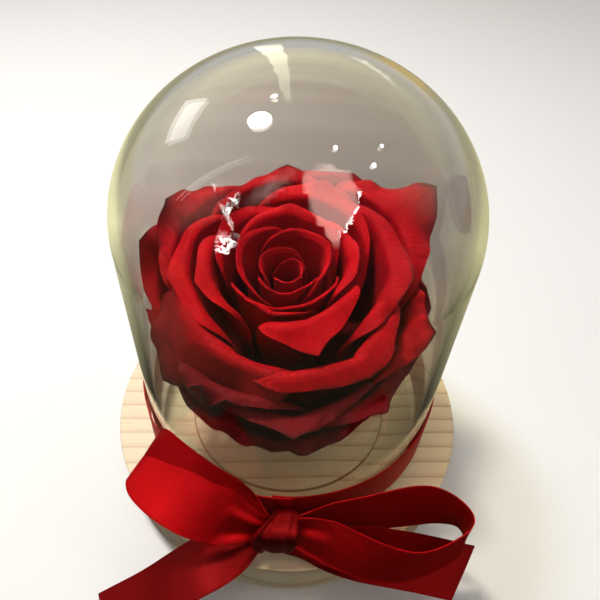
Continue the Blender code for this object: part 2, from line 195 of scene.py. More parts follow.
def add(kind, inputs, output=0, beside=None, **settings):
    """What a new node puts out. It goes into the tree of its inputs, or of a node beside it."""
    beside = beside or next(v.socket for v in inputs.values() if isinstance(v, Value))
    new = beside.id_data.nodes.new("ShaderNode" + kind)
    for key, value in settings.items():
        setattr(new, key, value)
    feed(new, inputs)
    return Value(new.outputs[output])


def outputs(value):
    """Everything that the same node puts out."""
    return [Value(socket) for socket in value.socket.node.outputs]


def maths(operation, a, b=0):
    return add("Math", {0: a, 1: b}, operation=operation)


def axes(vector):
    """The three numbers of a vector."""
    return outputs(add("SeparateXYZ", {0: vector}))


def coordinates(beside, kind="Object"):
    return add("TexCoord", {}, kind, beside)


def light_path(beside, kind):
    return add("LightPath", {}, kind, beside)


def span(value, low, high, smoothly=False):
    """From 0 at low to 1 at high, which may be the smaller number."""
    kind = "SMOOTHSTEP" if smoothly else "LINEAR"
    return add("MapRange", {0: value, 1: low, 2: high}, interpolation_type=kind)


def mix(share, a, b, blend="MIX"):
    """Two colours mixed by a share."""
    return add("Mix", {0: share, 6: a, 7: b}, 2, data_type="RGBA", blend_type=blend)


def noise(vector, scale, detail=3, distortion=0):
    """Noise between about 0 and 1. Three scales stretch it."""
    if hasattr(scale, "__len__"):
        vector, scale = add("Mapping", {"Vector": vector, "Scale": scale}), 1
    inputs = {"Vector": vector, "Scale": scale, "Detail": detail, "Distortion": distortion}
    return add("TexNoise", inputs, "Fac")


def new_material(name, roughness, **constants):
    """A material, its Principled BSDF with plain values, and its output node."""
    made = bpy.data.materials.new(name)
    made.use_nodes = True
    nodes = made.node_tree.nodes
    shader = nodes["Principled BSDF"]
    feed(shader, {"Roughness": roughness, **constants})
    return made, shader, nodes["Material Output"]


def paint(shader, colour, rough, height, relief):
    """Feeds the shader a colour, a roughness and a height, with the relief in metres."""
    bump = add("Bump", {"Height": height, "Distance": relief})
    feed(shader, {"Base_Color": colour, "Roughness": rough, "Normal": bump})


def new_group(name, colours, numbers):
    """A node group for colour, roughness and height, what it is given, and its output node."""
    group = bpy.data.node_groups.new(name, "ShaderNodeTree")
    for labels, kind, way in (
        (colours, "Color", "INPUT"), (numbers, "Float", "INPUT"),
        ("Color", "Color", "OUTPUT"), ("Roughness Height", "Float", "OUTPUT"),
    ):
        for label in labels.split():
            group.interface.new_socket(name=label, in_out=way, socket_type="NodeSocket" + kind)
    given = {socket.name: Value(socket) for socket in group.nodes.new("NodeGroupInput").outputs}
    return group, given, group.nodes.new("NodeGroupOutput")


# %% [markdown]
# ## Pine
# The base is flat-sawn softwood. Its growth rings are cylinders round the pith of the
# tree, and the saw cuts through them, so the pattern is made the same way: the distance
# from a far-off pith line, cut by the board's own surfaces. A picture of wood would only
# fit one face, while this one runs round the edge and through.

# %% Pine material
STEP_RADIUS = 32.3 * MM
RING_WIDTH = 4.6 * MM
PITH = (0, 0.17, -0.105)
PITH_TURN = math.radians(4)
# painted shade: a thin dark line in the corner round the step's foot
SHADE_LINE_RADIUS = STEP_RADIUS + 0.1 * MM  # the dark line round the step's foot


def pine():
    made, shader, _ = new_material("pine_clear_coated", 0.42, Specular_IOR_Level=0.4)
    place = coordinates(shader)
    pith = {"Vector": place, "Location": PITH, "Rotation": (0, 0, PITH_TURN)}
    _, across, deep = axes(add("Mapping", pith, vector_type="TEXTURE"))
    radius = maths("SQRT", across * across + deep * deep)
    wander, fine_wander = noise(place, (8, 22, 22), 2), noise(place, (25, 160, 160))
    ring = maths("FRACT", radius * (1 / RING_WIDTH) + wander * 0.9 + fine_wander * 0.1)
    late = add("ValToRGB", {0: ring})
    stops = late.socket.node.color_ramp.elements
    for stop, grey in ((0, 0.02), (0.55, 0.06), (0.8, 0.4), (0.92, 1), (1, 0.03)):
        element = stops[-1] if stop == 1 else stops[0] if stop == 0 else stops.new(stop)
        element.color = (grey, grey, grey, 1)
    fibres = noise(place, (60, 2200, 2200), 4)
    pores = span(noise(place, (140, 3600, 3600), 2), 0.62, 0.72)
    patch = noise(place, (14, 26, 26), 2)
    sideways, _, _ = axes(place)
    # painted light: the colours shift from left to right across the base, as the light falls on it
    painted_light_across = span(sideways, -0.045, 0.055, True)
    early = mix(painted_light_across, (0.86, 0.76, 0.57), (1, 0.85, 0.55))
    line = mix(painted_light_across, (0.64, 0.47, 0.28), (0.55, 0.34, 0.15))
    colour = mix(late * 0.75, early, line)
    colour = mix(fibres * 0.3, colour, (0.9, 0.78, 0.58), "MULTIPLY")
    colour = mix(patch * 0.3, colour, (0.98, 0.86, 0.66), "MULTIPLY")
    colour = mix(pores * 0.22, colour, (0.3, 0.18, 0.08))
    # painted shade: a thin dark line in the corner round the step's foot, darkest on its radius
    level = add("Mapping", {"Vector": place, "Scale": (1, 1, 0)})
    reach = add("VectorMath", {0: level}, "Value", operation="LENGTH")
    painted_corner_shade = span(maths("ABSOLUTE", reach - SHADE_LINE_RADIUS), 0.24 * MM, 0.08 * MM)
    colour = mix(painted_corner_shade * 0.7, colour, (0.12, 0.065, 0.03))
    rough = late * -0.1 + fibres * 0.14 + 0.4
    paint(shader, colour, rough, late * 0.6 + fibres * 0.5 - pores * 0.5, 0.06 * MM)
    return made


pine_wood = pine()
print("pine made, rings", round(RING_WIDTH / MM, 1), "mm wide")

# %% [markdown]
# ## The wooden base
# The real base was turned on a lathe from one board: a flat disc with a low round step
# that the rose stands on. It starts as a cylinder. Its top is inset to the step's size
# and extruded up, and a bevel softens every edge, as sandpaper does.

# %% Wooden base
BASE_RADIUS = 56.5 * MM
BASE_THICKNESS = 14 * MM
STEP_HEIGHT = 1.2 * MM


def rounded(middle, way):
    """The level edges of the disc and of the step's top."""
    on_step = middle.z > BASE_THICKNESS + STEP_HEIGHT / 2
    return abs(way.z) < 0.1 and (on_step or middle.xy.length > BASE_RADIUS - NEAR)


start()
bpy.ops.mesh.primitive_cylinder_add(
    vertices=160, radius=BASE_RADIUS, depth=BASE_THICKNESS, location=(0, 0, BASE_THICKNESS / 2)
)
base = named("pine_base")
pick(base, "FACE", lambda middle, normal: normal.z > 0.9)
bpy.ops.mesh.inset(thickness=BASE_RADIUS - STEP_RADIUS)
bpy.ops.mesh.extrude_region_move(TRANSFORM_OT_translate={"value": (0, 0, STEP_HEIGHT)})
pick(base, "EDGE", rounded)
bpy.ops.mesh.bevel(offset=0.35 * MM, segments=3, affect="EDGES")
dress(base, pine_wood, 35, "wooden_base")
tell(base)

# %% [markdown]
# ## Glass
# Clear blown glass mirrors a little and bends what lies behind it. The Principled shader
# does both with full transmission. Its base colour is a slight grey-beige, because the
# eye looks through the wall twice, and the volume takes away a little blue over a long
# way, so only the edges of the dome look yellow. Real glass also lets lamps shine
# through. A path tracer finds that hard, so the light's own rays see a clear surface.

# %% Glass material


def glass():
    made, shader, output = new_material(
        "dome_glass", 0, IOR=1.45, Metallic=0, Transmission_Weight=1, Base_Color=(0.9, 0.885, 0.9)
    )
    clear = add("BsdfTransparent", {"Color": (0.93, 0.92, 0.91)}, beside=shader)
    both = {0: light_path(shader, "Is Shadow Ray"), 1: Value(shader.outputs[0]), 2: clear}
    absorb = add("VolumeAbsorption", {"Color": (0.84, 0.84, 0.3), "Density": 34}, beside=shader)
    feed(output, {"Surface": add("MixShader", both), "Volume": absorb})
    return made


dome_glass = glass()
print("glass made")

# %% [markdown]
# ## The glass dome
# The cover was blown: a cylinder that closes in a slightly flattened top. It starts as a
# sphere. The lower half is cut away, the open edge is extruded down to the foot, and the
# top is squashed a little. Solidify gives the wall its two millimetres, inwards, and the
# foot's edge is rounded as fire-polished glass is.

# %% Glass dome
DOME_RADIUS = 45 * MM
DOME_HEIGHT = 117.5 * MM
CAP_HEIGHT = 40 * MM
GLASS_WALL = 2 * MM
DOME_FOOT = BASE_THICKNESS + 0.3 * MM
SHOULDER = DOME_FOOT + DOME_HEIGHT - CAP_HEIGHT
WALL_ROWS = 24
ROW_HEIGHT = (SHOULDER - DOME_FOOT) / WALL_ROWS

start()
bpy.ops.mesh.primitive_uv_sphere_add(
    segments=160, ring_count=96, radius=DOME_RADIUS, location=(0, 0, SHOULDER)
)
dome = named("blown_glass_dome")
mode("EDIT")
bpy.ops.mesh.select_all(action="SELECT")
bpy.ops.mesh.bisect(plane_co=(0, 0, SHOULDER), plane_no=(0, 0, 1), clear_inner=True)
bpy.ops.mesh.select_all(action="SELECT")
bpy.ops.transform.resize(value=(1, 1, CAP_HEIGHT / DOME_RADIUS), center_override=(0, 0, SHOULDER))
for row in range(WALL_ROWS):
    level = SHOULDER - row * ROW_HEIGHT
    pick(dome, "EDGE", lambda middle, way: abs(middle.z - level) < NEAR and abs(way.z) < 0.01)
    bpy.ops.mesh.extrude_region_move(TRANSFORM_OT_translate={"value": (0, 0, -ROW_HEIGHT)})
bpy.ops.mesh.select_all(action="SELECT")
bpy.ops.mesh.remove_doubles(threshold=0.002 * MM)
bpy.ops.mesh.normals_make_consistent(inside=False)
start()
thicken(dome, GLASS_WALL, -1)
pick(dome, "EDGE", lambda middle, way: middle.z < DOME_FOOT + NEAR and abs(way.cross(middle).z) > 0.02)
bpy.ops.mesh.bevel(offset=0.8 * MM, segments=5, affect="EDGES")
dress(dome, dome_glass, 50, "glass_dome")
tell(dome)

# %% [markdown]
# ## Satin
# The ribbon is woven so that long smooth threads lie on its face. They mirror light in a
# band across the threads, which is an anisotropic gloss, and a fine slanting twill shows
# close up. Both edges end in a tight woven selvedge. The pattern is read from the
# ribbon's own UV map, in metres along and across it, so it follows every fold. All the
# ribbon pieces share it, so it is a node group. Each part of the bow has its reds scaled
# by its own factor as painted light and shade: the tails and knot are painted much darker.

# %% Satin weave
RIBBON_WIDTH = 16 * MM
TWILL_STEP = 0.42 * MM
THREAD_STEP = 0.3 * MM
SATIN_RED, SATIN_SHADE = Vector((0.66, 0.002, 0.006)), Vector((0.34, 0, 0.002))


def satin_group():
    group, given, output = new_group("satin_weave", "Thread Shade", "Twill")
    uv = add("UVMap", {}, beside=group, uv_map="UVMap")
    along, across, _ = axes(uv)
    rib = maths("SINE", (along + across * 0.8) * (2 * math.pi / TWILL_STEP))
    thread = maths("SINE", across * (2 * math.pi / THREAD_STEP))
    threads = noise(uv, (500, 6000, 1), 2)
    off_middle = maths("ABSOLUTE", across - RIBBON_WIDTH / 2)
    selvedge = span(off_middle, RIBBON_WIDTH / 2 - 1 * MM, RIBBON_WIDTH / 2 - 0.4 * MM)
    dark = rib * -0.1 + threads * 0.35 + 0.05 + selvedge * 0.25
    feed(output, {
        "Color": mix(dark, given["Thread"], given["Shade"]),
        "Roughness": threads * 0.14 + 0.28 + selvedge * 0.2,
        "Height": (rib + thread * 0.4) * given["Twill"] + threads * 0.6 + selvedge * 1.2,
    })
    return group


satin_weave = satin_group()


def satin(part, depth):
    """Satin for one part of the bow, its reds scaled by a factor of painted light and shade."""
    made, shader, _ = new_material(
        "satin_" + part, 0.35, Metallic=0.5, Anisotropic=0.6, Anisotropic_Rotation=0.25,
        Specular_IOR_Level=0.4, Specular_Tint=(1, 0.16, 0.16),
    )
    given = {"Thread": SATIN_RED * depth, "Shade": SATIN_SHADE * depth, "Twill": 0.6}
    weave = add("Group", given, beside=shader, node_tree=satin_weave)
    paint(shader, *outputs(weave), 0.03 * MM)
    tangent = add("Tangent", {}, beside=shader, direction_type="UV_MAP", uv_map="UVMap")
    feed(shader, {"Tangent": tangent})
    return made


# painted shade: the tails and knot get much darker reds than the band and loops
satins = {
    part: satin(part, depth)
    for part, depth in (("band", 0.55), ("loops", 0.57), ("tails", 0.21), ("knot", 0.2))
}
print("satins:", ", ".join(satins))

# %% [markdown]
# ## Ribbon strips
# Ribbon is a flat strip that only bends, so each length of it is a grid whose vertices
# are moved onto a route: the strip's middle line, the way its upper edge points, and how
# much of its full width it takes where it is gathered. Gathered ribbon does not shrink,
# it folds, so pleats rise where the width is less. A cloth simulation could drape it, but
# it could not be told to land where the real bow does.

# %% Ribbon helpers
RIBBON_THICKNESS = 0.26 * MM
PLEATS = 1.5  # across the ribbon where it is gathered


def spline(points, count):
    """A smooth curve through rows of numbers, with count steps between neighbours."""
    points = np.array(points, dtype=float)
    padded = np.vstack([2 * points[0] - points[1], points, 2 * points[-1] - points[-2]])
    rows = []
    for i in range(len(points) - 1):
        a, b, c, d = padded[i:i + 4]
        for t in np.arange(count) / count:
            bent = (2 * a - 5 * b + 4 * c - d) * t**2 + (3 * b - a - 3 * c + d) * t**3
            rows.append(0.5 * (2 * b + (c - a) * t + bent))
    rows.append(points[-1])
    return np.array(rows)


def unit(rows):
    """Each row scaled to length one."""
    return rows / np.maximum(np.linalg.norm(rows, axis=-1, keepdims=True), 1e-9)


def grid_piece(name, columns, rows):
    """A flat grid with its own UV map, and where each vertex lies in it from 0 to 1."""
    start()
    bpy.ops.mesh.primitive_grid_add(x_subdivisions=columns, y_subdivisions=rows, size=1)
    piece = named(name)
    places = np.empty(len(piece.data.vertices) * 3)
    piece.data.vertices.foreach_get("co", places)
    places = places.reshape(-1, 3) + 0.5
    return piece, places[:, 0], places[:, 1]


def set_places(piece, points):
    """Moves every vertex of a piece."""
    piece.data.vertices.foreach_set("co", np.asarray(points, dtype=float).ravel())
    piece.data.update()


def finish_ribbon(piece, part, node, length, offset):
    """The weave in metres, the thickness, the satin, and how the ribbon is held."""
    layer = piece.data.uv_layers[0].data
    values = np.empty(len(layer) * 2)
    layer.foreach_get("uv", values)
    layer.foreach_set("uv", (values.reshape(-1, 2) * (length, RIBBON_WIDTH)).ravel())
    thicken(piece, RIBBON_THICKNESS, offset)
    dress(piece, satins[part], 50, node)
    tell(piece)
    print(f"  length of its ribbon {length / MM:.0f} mm")


def ribbon(name, part, node, route, steps=14, ripple=0, seed=0):
    """A strip along rows of its middle, the way to its upper edge, and its share of width if not 1."""
    line = spline([(*row, 1)[:7] for row in route], steps)
    middle, lie, share = line[:, :3] * MM, unit(line[:, 3:6]), line[:, 6]
    steps_along = np.linalg.norm(np.diff(middle, axis=0), axis=1)
    length = steps_along.sum()
    facing = unit(np.cross(lie, unit(np.gradient(middle, axis=0))))
    piece, u, v = grid_piece(name, len(line) - 1, 20)
    index = np.rint(u * (len(line) - 1)).astype(int)
    travelled = (np.concatenate([[0], np.cumsum(steps_along)]) / length)[index]
    side = 2 * v - 1
    wide = np.clip(share, 0.2, 1)[index]
    fold = np.sqrt(np.maximum(1 / wide**2 - 1, 0)) * RIBBON_WIDTH / (2.2 * math.pi * PLEATS)
    wave = np.sin(math.pi * PLEATS * side + 1.1 * seed + 1.5 * travelled)
    wave = wave + 0.35 * np.sin(2.3 * math.pi * PLEATS * side + seed)
    lift = np.minimum(0.5 * fold, 0.55 * MM) * wave
    lift = lift + ripple * MM * np.sin(9 * travelled + 2 * side + seed) * np.minimum(wide, 1)
    aside = lie[index] * (side * wide * RIBBON_WIDTH / 2)[:, None]
    set_places(piece, middle[index] + aside + facing[index] * lift[:, None])
    finish_ribbon(piece, part, node, length, 0)


# %% [markdown]
# ## The band round the glass
# One turn of ribbon runs round the foot of the dome. Its two ends lap behind the knot,
# where they were tied. A real band is never quite tight, so it wavers a little.

# %% Ribbon band
BAND_RADIUS = DOME_RADIUS / MM + 0.4
BAND_CENTRE_Z = 27.7
BAND_STEPS = 48
band_route = []
for i in range(BAND_STEPS + 1):
    turn = math.radians(-93 + 367 * i / BAND_STEPS)
    height = BAND_CENTRE_Z + 0.12 * math.sin(5 * turn) + 0.1 * math.sin(9 * turn + 1)
    radius = BAND_RADIUS + 0.5 * i / BAND_STEPS
    band_route.append((radius * math.cos(turn), radius * math.sin(turn), height, 0, 0, 1))
ribbon("satin_band", "band", "ribbon_band", band_route, steps=4)

# %% [markdown]
# ## The bow's loops
# The left loop is pressed nearly flat and shows its broad face. The right one stands on
# its edge and gapes. Each is one length of ribbon that leaves the knot, turns round and
# comes back to it.

# %% Bow loops
LOOP_RIGHT = (
    (1, -49.4, 26.2, 0, 0.1, 1, 0.5), (8, -48.2, 26.8, 0, 0.1, 1, 0.88),
    (14, -47, 27.2, 0, 0.15, 1), (22, -45.2, 27.4, 0, 0.2, 1),
    (30, -43.2, 27.3, -0.05, 0.25, 0.95), (37, -41.7, 27.1, -0.1, 0.28, 0.95),
    (43.2, -41.2, 27, -0.15, 0.2, 0.95), (48.6, -42.8, 27, -0.18, 0.05, 0.97),
    (51, -46.4, 27, -0.1, -0.02, 1), (49.8, -50.4, 27, -0.06, 0.05, 1),
    (45.2, -53.8, 27, 0, 0.1, 1), (39.2, -56.8, 26.9, 0, 0.1, 1),
    (33.8, -58.2, 26.8, 0, 0.15, 1), (27, -57.6, 26.6, 0, 0.25, 0.97),
    (21.6, -56.2, 26.4, 0.05, 0.32, 0.95), (13.9, -53.4, 26.6, 0.05, 0.34, 0.94),
    (5.6, -51.2, 26.2, 0, 0.24, 0.97, 0.82), (1, -50.8, 25.6, 0, 0.2, 0.97, 0.5),
)
LOOP_LEFT = (
    (-2.6, -49.6, 26.6, 0.1, 0.1, 1, 0.5), (-8.6, -48.2, 30.2, 0.3, 0.4, 0.85, 0.82),
    (-14, -47, 33.5, 0.32, 0.4, 0.86), (-20, -45.3, 36.6, 0.34, 0.42, 0.84),
    (-28, -41.7, 39.6, 0.4, 0.44, 0.8), (-34.2, -38.2, 40.4, 0.47, 0.5, 0.72),
    (-37, -38, 39.2, 0.52, 0.6, 0.6), (-35.8, -41.4, 37.8, 0.5, 0.66, 0.56),
    (-30.2, -45.8, 36.4, 0.46, 0.68, 0.58), (-22.2, -49.2, 33.8, 0.4, 0.67, 0.63),
    (-15, -50, 31.3, 0.34, 0.62, 0.7), (-8.6, -50.3, 28.4, 0.26, 0.5, 0.8, 0.66),
    (-2.6, -50.2, 26.4, 0.1, 0.2, 1, 0.4),
)
for side, route, seed in (("right", LOOP_RIGHT, 0.4), ("left", LOOP_LEFT, 2)):
    ribbon(
        "satin_loop_" + side, "loops", "bow_loop_" + side, route,
        ripple=0.25, seed=seed,
    )

# %% [markdown]
# ## The bow's tails
# Both tails come out from under the knot and fall over the edge of the base.

# %% Bow tails
TAIL_RIGHT = (
    (2, -51.4, 21.6, 0.1, 0.5, 0.85, 0.5), (7, -51.6, 20.8, 0.1, 0.5, 0.85, 0.6),
    (14, -52, 20, 0.1, 0.6, 0.78, 0.85), (24, -52.4, 18.8, 0.2, 0.66, 0.7),
    (38, -53, 16.8, 0.3, 0.72, 0.6), (51.8, -54, 14, 0.4, 0.78, 0.48),
)
TAIL_LEFT = (
    (-3, -50.8, 21.6, -0.3, 0.5, 0.7, 0.3), (-7, -52, 20.6, -0.4, 0.6, 0.4, 0.4),
    (-12, -54, 19.4, -0.5, 0.78, 0.1, 0.72), (-18.4, -56.8, 18.6, -0.54, 0.82, -0.1, 0.98),
    (-26.4, -60.6, 15.2, -0.5, 0.84, -0.16), (-35, -64.6, 10, -0.46, 0.86, -0.14),
    (-46, -69.4, 4.6, -0.42, 0.88, -0.1),
)
for side, route, seed in (("right", TAIL_RIGHT, 0.9), ("left", TAIL_LEFT, 3.1)):
    ribbon(
        "satin_tail_" + side, "tails", "bow_tail_" + side, route,
        ripple=0.2, seed=seed,
    )

# %% [markdown]
# ## The knot
# The middle of the bow is the same ribbon wrapped once over the loops. It is a strip bent
# round a rounded box, and two rows of numbers say where its left and right edges lie at
# each turn. Where it was tugged tight its left edge runs slanting and is folded over into
# a rounded ridge, and it narrows towards its foot.

# %% Bow knot
KNOT_CENTRE = Vector((0, -50.4, 26.3))
KNOT_DEEP, KNOT_HIGH = 4.8, 6.1
KNOT_SQUARE = 3.4  # 2 would make the box a plain ellipse
KNOT_TURNS = (30, 60, 90, 120, 150, 180, 210, 240, 300)  # degrees round the wrap
KNOT_LEFT = (-1, -1.6, -3.4, -5.6, -7.5, -7.5, -5.8, -4, -2.5)
KNOT_RIGHT = (5, 5.3, 5.4, 5.4, 5.3, 5.1, 4.4, 3.2, 3)


def bell(x, middle, width):
    """Rises to 1 in the middle and falls away on both sides."""
    return np.exp(-(((x - middle) / width) ** 2))


def wrap_knot():
    piece, u, v = grid_piece("satin_knot", 96, 40)
    turn = np.radians(80 + 372 * u)
    side = 2 * v - 1
    level = np.sin(turn)
    left, right = (
        np.interp(np.degrees(turn), KNOT_TURNS, edge, period=360) for edge in (KNOT_LEFT, KNOT_RIGHT)
    )
    box = (np.abs(np.cos(turn)) ** KNOT_SQUARE + np.abs(level) ** KNOT_SQUARE) ** (-1 / KNOT_SQUARE)
    ridge = 0.13 * bell(side, -0.84, 0.1) - 0.07 * bell(side, -0.56, 0.16)
    crease = 0.03 * bell(side, 0.15 + 0.3 * level, 0.22) - 0.03 * bell(side, 0.6, 0.14)
    tuck = 1 - 0.04 * np.abs(side) ** 3 - 0.34 * np.abs(side) ** 18
    rounding = box * (tuck + ridge + crease) * (1 + 0.02 * u)
    x = (left + right) / 2 + side * (right - left) / 2
    points = np.stack([x, KNOT_DEEP * rounding * np.cos(turn), KNOT_HIGH * rounding * level], axis=-1)
    set_places(piece, (points + np.array(KNOT_CENTRE)) * MM)
    around = 2 * math.pi * math.sqrt((KNOT_DEEP**2 + KNOT_HIGH**2) / 2) * MM
    finish_ribbon(piece, "knot", "bow_knot", around, -1)


wrap_knot()

# %% [markdown]
# ## Petal tissue
# A preserved petal is matt and velvety. It is deepest red towards its base, fine veins fan
# out from its base, and its thin rim has dried a little darker in places. Lower in the
# head the petals are painted darker as painted shade, and a hanging flap is darkened
# partly as its dried colour and partly as painted shade. Every petal shares this, with
# its own values, so it is a group too. The petal's UV map runs across it and from its
# base to its rim.

# %% Petal tissue


def petal_group():
    group, given, output = new_group("petal_tissue", "Middle Base Rim Dried Aged", "Drying Flap")
    uv, place = add("UVMap", {}, beside=group, uv_map="UVMap"), coordinates(group)
    across, along, _ = axes(uv)
    _, _, height = axes(place)
    veins = noise(uv, (60, 3, 1), 4, 0.6)
    cloud = noise(place, 90)
    edge = maths("ABSOLUTE", across * 2 - 1)
    border = maths("MAXIMUM", span(along, 0.8, 0.985, True), span(edge, 0.86, 1, True))
    # painted shade: petals lower in the head turn darker towards the bottom
    low = span(height + cloud * 0.016 - 0.008, 0.068, 0.04, True)
    patch = span(noise(place, 210, 4), 0.5, 0.6)
    dry = maths("MAXIMUM", patch, span(edge, 0.22, 0.05, True)) * span(along, 0.93, 1, True)
    colour = given["Middle"]
    for share, over in (
        (span(along, 0.45, 0.05, True), "Base"),
        (border * 0.7, "Rim"),
        (span(veins, 0.62, 0.35) * 0.28, "Base"),
        (span(cloud, 0.42, 0.68) * 0.3, "Base"),
        # painted shade low in the head; on the flap partly painted shade and partly dried colour
        (low * 0.85, "Aged"),
        (span(along, 0.58, 0.72, True) * given["Flap"], "Aged"),
        (dry * given["Drying"], "Dried"),
    ):
        colour = mix(share, colour, given[over])
    fine_veins, velvet = noise(uv, (190, 9, 1), 2, 0.3), noise(place, 2600, 2)
    relief = veins + fine_veins * 0.35 + velvet * 0.12
    feed(output, {"Color": colour, "Roughness": cloud * 0.18 + 0.52, "Height": relief})
    return group


petal_tissue = petal_group()


def petal_material(kind, middle, base_colour, rim, drying, flap=0):
    """One kind of petal: its reds, how dried its rim is, and how dark its flap is painted, partly as dried
    colour and partly as painted shade.
    """
    made, shader, _ = new_material(
        f"petal_{kind}_red", 0.6, Sheen_Weight=0.06, Sheen_Roughness=0.4, Specular_IOR_Level=0.16,
        Sheen_Tint=(1, 0.1, 0.1), Specular_Tint=(1, 0.25, 0.22),
    )
    given = {"Middle": middle, "Base": base_colour, "Rim": rim, "Drying": drying, "Flap": flap}
    given |= {"Dried": (0.035, 0.006, 0.005), "Aged": (0.1, 0.008, 0.009)}
    tissue = add("Group", given, beside=shader, node_tree=petal_tissue)
    paint(shader, *outputs(tissue), 0.16 * MM)
    return made


petal_reds = {
    kind: petal_material(kind, *look)
    for kind, *look in (
        ("bud", (0.42, 0.001, 0.005), (0.17, 0, 0.002), (0.46, 0.003, 0.008), 0.1),
        ("inner", (0.42, 0.001, 0.005), (0.17, 0, 0.002), (0.46, 0.003, 0.008), 0.3),
        # hanging: its flap is darkened, partly as dried colour and partly as painted shade
        ("hanging", (0.34, 0.001, 0.005), (0.13, 0, 0.002), (0.2, 0.003, 0.006), 0.8, 0.55),
        # low: a much darker copy for the lowest outer petals, as painted shade under the head
        ("low", (0.15, 0.003, 0.008), (0.06, 0.001, 0.003), (0.11, 0.005, 0.009), 1),
        ("outer", (0.34, 0.001, 0.005), (0.13, 0, 0.002), (0.28, 0.003, 0.006), 0.8),
    )
}
print("petal materials:", ", ".join(petal_reds))

# %% [markdown]
# ## How the petals grow
# The petals of a rose nest in one another. They are all made from one family of curves:
# profiles from the tight bud to the wide outer petals, one family for the side of the bow
# and one for the back, because the flower leans and falls open towards the bow. A petal
# is a grid whose vertices follow those curves up from its base, and then curl outwards at
# the rim. Petals could be sculpted one at a time, but then they would cut through each
# other, while curves in one family never cross.

# %% Petal curves
# Six profiles each, from the inside out: six points of (distance from the axis, height) in millimetres.
FRONT_PROFILES = np.reshape((
    0.8, 15, 2.2, 24, 3.4, 33, 3.6, 42, 3.5, 48, 3.8, 51.5,
    2, 13, 5.2, 21, 8.2, 31, 8.4, 40, 7.9, 46.5, 8.4, 51.5,
    3.4, 10.5, 9.6, 17, 14, 27, 14.2, 37, 13.2, 45, 13.8, 51,
    4.8, 7.8, 14.6, 12.5, 21, 23, 22, 34, 21.6, 43, 23, 49,
    6.2, 5, 19, 7, 28.6, 17.5, 30, 29, 30, 38, 31.6, 43,
    7.5, 2.2, 22, 1, 33, 8.5, 35.6, 18, 36.4, 25.5, 38.4, 28.5,
), (6, 6, 2))
BACK_PROFILES = np.reshape((
    0.8, 15, 2.2, 24, 3.6, 33, 3.8, 42, 3.6, 48, 4, 52,
    2, 13, 5.5, 21, 9.8, 31, 11.4, 41, 12, 49, 13.4, 53.5,
    3.4, 10.5, 10, 17, 17, 27.5, 18.6, 39, 19.5, 48.5, 22.5, 54.5,
    4.8, 7.8, 15, 12.5, 24.5, 23.5, 26.5, 37, 28, 48, 31, 54,
    6.2, 5, 19.5, 8, 31, 19, 33, 33, 34, 45, 36.5, 52.5,
    7.5, 2.2, 22.5, 2.5, 34.5, 12.5, 37, 28, 38, 40, 40, 48,
), (6, 6, 2))
CLAW_END = 0.62  # share of the way up where a petal reaches its full width
PETAL_START = 0.015
RIM_ROWS_FROM = 0.53  # share of a petal's rows below its curled rim
RIM_BEND = 2  # radius that a rim curls round, in millimetres


def smooth_step(x):
    """Rises from 0 to 1 without a kink at either end."""
    x = np.clip(x, 0, 1)
    return x * x * (3 - 2 * x)


def b_spline(control, s):
    """A clamped cubic B-spline: control is (..., points, 2), s is (...)."""
    count = control.shape[-2]
    knots = np.concatenate([[0] * 3, np.linspace(0, 1, count - 2), [1] * 3])
    s = np.clip(s, 0, 1 - 1e-9)
    basis = [((s >= knots[i]) & (s < knots[i + 1])).astype(float) for i in range(len(knots) - 1)]
    for degree in (1, 2, 3):
        for i in range(len(knots) - 1 - degree):
            (first, second), (before, last) = knots[i:i + 2], knots[i + degree:i + degree + 2]
            value = np.zeros_like(s)
            if before > first:
                value += (s - first) / (before - first) * basis[i]
            if last > second:
                value += (last - s) / (last - second) * basis[i + 1]
            basis[i] = value
    return (np.stack(basis[:count], axis=-1)[..., None] * control).sum(axis=-2)


def profile_point(place, share, azimuth):
    """Distance from the head's axis and height, for a place among the profiles."""
    x = np.clip(place, 0, 1) * (len(FRONT_PROFILES) - 1)
    i = np.minimum(x.astype(int), len(FRONT_PROFILES) - 2)
    f = (x - i)[..., None, None]
    rear = smooth_step(0.5 + 0.5 * np.sin(azimuth))[..., None, None]
    front, back = ((1 - f) * curves[i] + f * curves[i + 1] for curves in (FRONT_PROFILES, BACK_PROFILES))
    return b_spline((1 - rear) * front + rear * back, share)


print(len(FRONT_PROFILES), "profiles on each side")

# %% [markdown]
# ## The petal table
# One row for each petal, from the middle outwards. Azimuth and half-width say where it
# stands and how far round it reaches, and place says which profile it follows. The rest
# shape its rim: how far up it reaches, how far it rolls in the middle and beside it, how
# long the rolled lip is, how pointed it is, where its tip lies, and how flat its corners
# are. Rims that dried crumpled have three more: how much, where, and half how wide.

